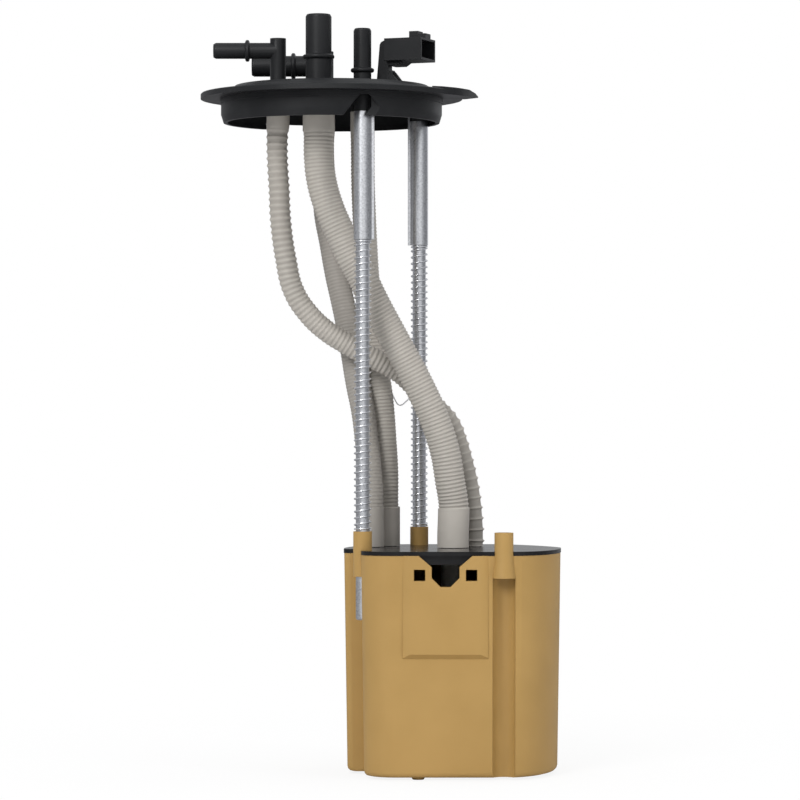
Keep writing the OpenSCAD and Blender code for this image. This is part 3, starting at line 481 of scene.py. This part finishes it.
# Hoses
# Four corrugated nylon hoses between the ports and the lid, blown from one tube each, with a
# smooth cuff at either end that grips its nipple. They flex as the reservoir slides.
hose_tree, pipe, dims = new_tree("corrugated_hose", [
    "Ring Radius", "Ring Depth", "Least Pitch", "Pitch Spread", "Ring Width", "Sharpness",
    "Top Cuff", "Top Radius", "Foot Cuff", "Foot Radius",
])
hose_step = 0.00028
hose_sides = 28
top_taper = 0.004
foot_taper = 0.0004
fade_length = 0.035
first_depth = 0.2
first_painted_shade = 0.15
deepening = 0.75
fine = pipe.add(
    "GeometryNodeResampleCurve", {"Curve": dims["Geometry"], "Length": hose_step}, mode="LENGTH")
span = pipe.add("GeometryNodeSplineParameter").socket.node
share, along = Wire(pipe, span.outputs["Factor"]), Wire(pipe, span.outputs["Length"])
whole = pipe.add("GeometryNodeSplineLength")
# A bent hose opens its rings. The ramp says by how much, from the top end to the foot.
stretch = pipe.add("ShaderNodeValToRGB", {"Fac": share}, stops=[
    (spot_along, (opening,) * 3) for spot_along, opening in (
        (0.0, 0.39), (1.0, 1.0), (0.2, 0.3), (0.32, 0.12), (0.45, 0.0), (0.6, 0.09), (0.74, 0.37),
        (0.87, 0.65),
    )
])
ring_pitch = dims["Least Pitch"] + dims["Pitch Spread"] * stretch
phase = pipe.add("GeometryNodeAccumulateField", {0: hose_step / ring_pitch}, data_type="FLOAT")
off_ring = pipe.add("ShaderNodeMath", {0: phase, 1: 0.5}, operation="PINGPONG") * ring_pitch
bump = pipe.add("ShaderNodeMath", {0: 1 - off_ring / dims["Ring Width"], 1: 0.0}, operation="MAXIMUM")
opened = ring_pitch / dims["Least Pitch"]
ridge = bump ** (dims["Sharpness"] * opened)
in_top, in_foot, faded = (
    pipe.add("ShaderNodeMath", {0: way_in}, operation="ADD", use_clamp=True)
    for way_in in (
        (dims["Top Cuff"] - along) / top_taper,
        (dims["Foot Cuff"] - whole + along) / foot_taper,
        (along - dims["Top Cuff"]) / fade_length,
    )
)
ring_depth = dims["Ring Depth"] * opened ** deepening * (first_depth + (1 - first_depth) * faded)
ringed = dims["Ring Radius"] - ring_depth * (1 - ridge)
between = 1 - in_top - in_foot
radius = ringed * between + dims["Top Radius"] * in_top + dims["Foot Radius"] * in_foot
# The grooves between the rings are painted darker, a painted shade in the recesses that is faint at the
# first rings under the top cuff.
painted_groove_shade = (1 - ridge) * between * (first_painted_shade + (1 - first_painted_shade) * faded)
marked = pipe.add(
    "GeometryNodeStoreNamedAttribute", {"Geometry": fine, "Name": "groove", "Value": painted_groove_shade},
    data_type="FLOAT", domain="POINT")
round_of = pipe.add("GeometryNodeCurvePrimitiveCircle", {"Resolution": hose_sides, "Radius": 1.0})
swept = pipe.add(
    "GeometryNodeCurveToMesh",
    {"Curve": marked, "Profile Curve": round_of, "Scale": radius, "Fill Caps": True})
soft = pipe.add("GeometryNodeSetShadeSmooth", {"Geometry": swept})
whole_hose = pipe.add("GeometryNodeRealizeInstances", {"Geometry": soft})
coloured = pipe.add("GeometryNodeSetMaterial", {"Geometry": whole_hose, "Material": dims["Material"]})
pipe.add("NodeGroupOutput", {"Geometry": coloured})

hose_skins = {}
# Two colourings of one hose nylon: the second is the same nylon made darker, a painted shade for the rear
# hose, which lies in the shadow of the large hose.
for shade, crest_tone, painted_groove_tone in (
    ("hose_nylon", (0.43, 0.402, 0.361), (0.305, 0.286, 0.256)),
    ("hose_nylon_shaded", (0.305, 0.285, 0.257), (0.25, 0.233, 0.21)),
):
    tube_nylon, hose_web = skin(shade, Specular_IOR_Level=0.3)
    mottle = grain(hose_web, 180.0, 4.0)
    # The stored groove value darkens the colour towards the groove tone: painted shade in the ring grooves.
    groove = hose_web.add("ShaderNodeAttribute", out=2, attribute_name="groove")
    tint(hose_web, 0.25 * mottle + 0.75 * groove, (0.1, crest_tone), (0.95, painted_groove_tone))
    feed(hose_web, "Roughness", 0.45 + 0.2 * mottle)
    hose_skins[shade] = tube_nylon

# Each hose has the knots of its route and its sizes, all in millimetres but the sharpness.
hoses = {
    "small": ([
        (-31.6, -15, -7), (-31.6, -15, -15), (-32, -15, -22), (-32, -15, -36), (-31, -15, -54),
        (-30, -15, -74), (-27, -15, -96), (-22.4, -14, -115), (-13.2, -12.5, -129.3),
        (-1.9, -10.5, -139.7), (9.4, -8.5, -146.8), (23.2, -6.5, -154.3), (32.1, -5, -158.8),
        (39.9, -4, -163.2), (45.9, -3.5, -168.3), (51.5, -3, -174.3), (57.9, -2, -180.6),
        (65.1, -1, -187.2), (71.1, 0, -194.4), (75.6, 1, -205.2), (78.6, 1, -215.3), (82, 1, -229),
        (84, 1, -241), (85, 1, -251), (85.5, 1.5, -260), (85.5, 1.5, -268),
    ], {
        "Ring Radius": 6.6, "Ring Depth": 0.6, "Least Pitch": 2.6, "Pitch Spread": 4.4,
        "Ring Width": 1.5, "Sharpness": 0.8, "Top Cuff": 12.5, "Top Radius": 6.85,
        "Foot Cuff": 0, "Foot Radius": 7,
    }),
    "large": ([
        (-7.2, -25, -7), (-7.2, -25, -15), (-7, -25, -22), (-7, -25, -36), (-5.5, -25, -50),
        (-1, -25, -66), (6, -25, -82), (11.7, -24.5, -94.6), (16.8, -24, -103.5), (25.4, -24, -121.3),
        (34.9, -23, -139.1), (45, -22, -157.5), (54.5, -21, -175.9), (61.9, -20, -192.5),
        (67.7, -19, -210.3), (70.8, -18, -228.2), (73, -17, -243), (73, -17, -251),
        (72.7, -17, -260), (72.7, -17, -268),
    ], {
        "Ring Radius": 9.15, "Ring Depth": 0.65, "Least Pitch": 2.3, "Pitch Spread": 0,
        "Ring Width": 1.15, "Sharpness": 0.9, "Top Cuff": 14.5, "Top Radius": 9.4,
        "Foot Cuff": 23.5, "Foot Radius": 9.4,
    }),
    "rear": ([
        (-5.6, 25, -7), (-5.6, 25, -15), (-6, 25, -22), (-6, 25, -34), (-5, 24, -48), (-4, 21, -67),
        (-0.7, 18, -85), (2.7, 15, -104), (6.5, 12, -121), (9.8, 10, -137), (12.6, 8, -153), (15.2, 6, -169),
        (19, 2, -188), (21, 0, -204), (23, -3, -222), (24, -5, -238), (24, -5, -251), (24.3, -5, -260),
        (24.3, -5, -268),
    ], {
        "Ring Radius": 7.2, "Ring Depth": 0.3, "Least Pitch": 2.1, "Pitch Spread": 0,
        "Ring Width": 1.05, "Sharpness": 0.8, "Top Cuff": 14.5, "Top Radius": 7.2,
        "Foot Cuff": 23.5, "Foot Radius": 7.3,
    }),
    "middle": ([
        (18.5, 4, -7), (18.5, 4, -15), (18.6, 4, -22), (18.7, 5, -34), (18.8, 6, -48), (19.4, 8, -66),
        (20.3, 10, -86), (22, 12, -112), (25, 14, -138), (28, 14, -165), (30, 14, -180), (32, 12, -206),
        (33, 11, -224), (33, 10, -238), (33, 10, -251), (33, 9.5, -260), (33, 9.5, -268),
    ], {
        "Ring Radius": 7.25, "Ring Depth": 0.45, "Least Pitch": 2.2, "Pitch Spread": 0,
        "Ring Width": 1.1, "Sharpness": 0.8, "Top Cuff": 14.5, "Top Radius": 7.25,
        "Foot Cuff": 23.5, "Foot Radius": 8.1,
    }),
}
for which, (points, measures) in hoses.items():
    values = {
        label: number if label == "Sharpness" else number / 1000
        for label, number in measures.items()
    }
    # The rear hose takes the darker copy, whose colour is painted shade.
    hose_skin = hose_skins["hose_nylon_shaded" if which == "rear" else "hose_nylon"]
    line = route_curve(which + "_route", points)
    hose = grown(which + "_corrugated", line, hose_tree, values, hose_skin)
    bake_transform(hose)
    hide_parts(which + "_hose")


# Sender lead
# The pale lead of the level sender, which runs loose behind the hoses from the plug socket to
# the sender's back.
lead_tree, lead_web, lead_dims = new_tree("plain_lead", ["Radius"])
lead_step = 0.0015
lead_sides = 12
lead_radius = 0.00042
lead_fine = lead_web.add(
    "GeometryNodeResampleCurve", {"Curve": lead_dims["Geometry"], "Length": lead_step}, mode="LENGTH")
lead_ring = lead_web.add(
    "GeometryNodeCurvePrimitiveCircle", {"Resolution": lead_sides, "Radius": lead_dims["Radius"]})
lead_tube = lead_web.add(
    "GeometryNodeCurveToMesh", {"Curve": lead_fine, "Profile Curve": lead_ring, "Fill Caps": True})
lead_soft = lead_web.add("GeometryNodeSetShadeSmooth", {"Geometry": lead_tube})
lead_whole = lead_web.add("GeometryNodeRealizeInstances", {"Geometry": lead_soft})
lead_done = lead_web.add(
    "GeometryNodeSetMaterial", {"Geometry": lead_whole, "Material": lead_dims["Material"]})
lead_web.add("NodeGroupOutput", {"Geometry": lead_done})

jacket, jacket_web = skin("lead_jacket", Roughness=0.45)
jacket_haze = grain(jacket_web, 300.0, 2.0)
tint(jacket_web, jacket_haze, (0.3, (0.74, 0.74, 0.76)), (0.7, (0.84, 0.84, 0.86)))
lead = grown("pale_lead", route_curve("lead_route", [
    (30, 13, 4.1), (28.5, 16, 0.5), (25, 20, -5.5), (23, 21, -14), (22, 22, -40), (22, 24, -80),
    (24, 27, -112), (27, 28, -138), (31, 27, -160), (35, 25, -172), (38, 23, -180), (41, 21, -183.5),
    (45, 19, -181), (49, 17, -178), (55, 15, -181), (62, 17, -200), (69, 23, -225), (76, 31, -248),
    (82, 37, -262), (86, 40, -271), (88, 40, -278.7), (88, 40, -285.3),
]), lead_tree, {"Radius": lead_radius}, jacket)
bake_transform(lead)
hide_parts("sender_lead")


# Pieces inside the cup
# The pickup pipe with its woven strainer, the jet pump that the return flow drives, and the
# rubber umbrella valve in the floor.
finished("jet_body", "jet_pump", "reservoir", gloss)

natural, natural_web = skin("natural_nylon", Roughness=0.45)
haze = grain(natural_web, 120.0, 3.0)
tint(natural_web, haze, (0.3, (0.66, 0.63, 0.55)), (0.7, (0.75, 0.73, 0.66)))
feed(natural_web, "Roughness", 0.38 + 0.15 * haze)
finished("pickup_pipe", "pickup_tube", "reservoir", natural)

mesh_cloth, cloth_web = skin("strainer_cloth", Roughness=0.7)
weave = {"Vector": cloth_web.at, "Scale": 520.0}
warp = cloth_web.add("ShaderNodeTexWave", weave, out=1, bands_direction="X")
weft = cloth_web.add("ShaderNodeTexWave", weave, out=1, bands_direction="Y")
threads = warp * weft
tint(cloth_web, threads, (0.1, (0.5, 0.5, 0.48)), (0.6, (0.78, 0.78, 0.75)))
relief(cloth_web, threads, 0.4, 0.0002)
finished("strainer_bag", "pickup_strainer", "reservoir", mesh_cloth, edge=0.001)

rubber, rubber_web = skin("valve_rubber", Roughness=0.7)
bloom = grain(rubber_web, 500.0, 3.0)
tint(rubber_web, bloom, (0.3, (0.03, 0.03, 0.03)), (0.7, (0.05, 0.05, 0.05)))
finished("umbrella_valve", "foot_valve", "reservoir", rubber, edge=0.0001)


# Level sender
# A potentiometer on the back of the cup: a black carrier with a printed ceramic card, a hub with
# a sprung wiper, a bent wire arm and a foam float that turns on it.
finished("sender_carrier", "sender_body", "reservoir", gloss)

ceramic, ceramic_web = skin("printed_card", Roughness=0.5)
bars = ceramic_web.add(
    "ShaderNodeTexWave", {"Vector": ceramic_web.at, "Scale": 260.0}, out=1, bands_direction="Z")
tint(ceramic_web, bars, (0.45, (0.72, 0.7, 0.62)), (0.55, (0.25, 0.2, 0.14)))
finished("printed_card", "resistor_card", "reservoir", ceramic, edge=0.00008)
finished("wiper_hub", "sender_hub", "float_arm", natural)
finished("wiper_spring", "wiper", "float_arm", plating, edge=0.00005)
finished("arm_wire", "float_arm", "float_arm", zinc, edge=0)

foam, foam_web = skin("float_foam", Roughness=0.85)
cells = foam_web.add("ShaderNodeTexVoronoi", {"Vector": foam_web.at, "Scale": 1100.0})
tint(foam_web, cells, (0.1, (0.03, 0.03, 0.03)), (0.7, (0.07, 0.07, 0.068)))
relief(foam_web, cells, 0.4, 0.0003)
finished("foam_float", "float", "float", foam, edge=0.0006)
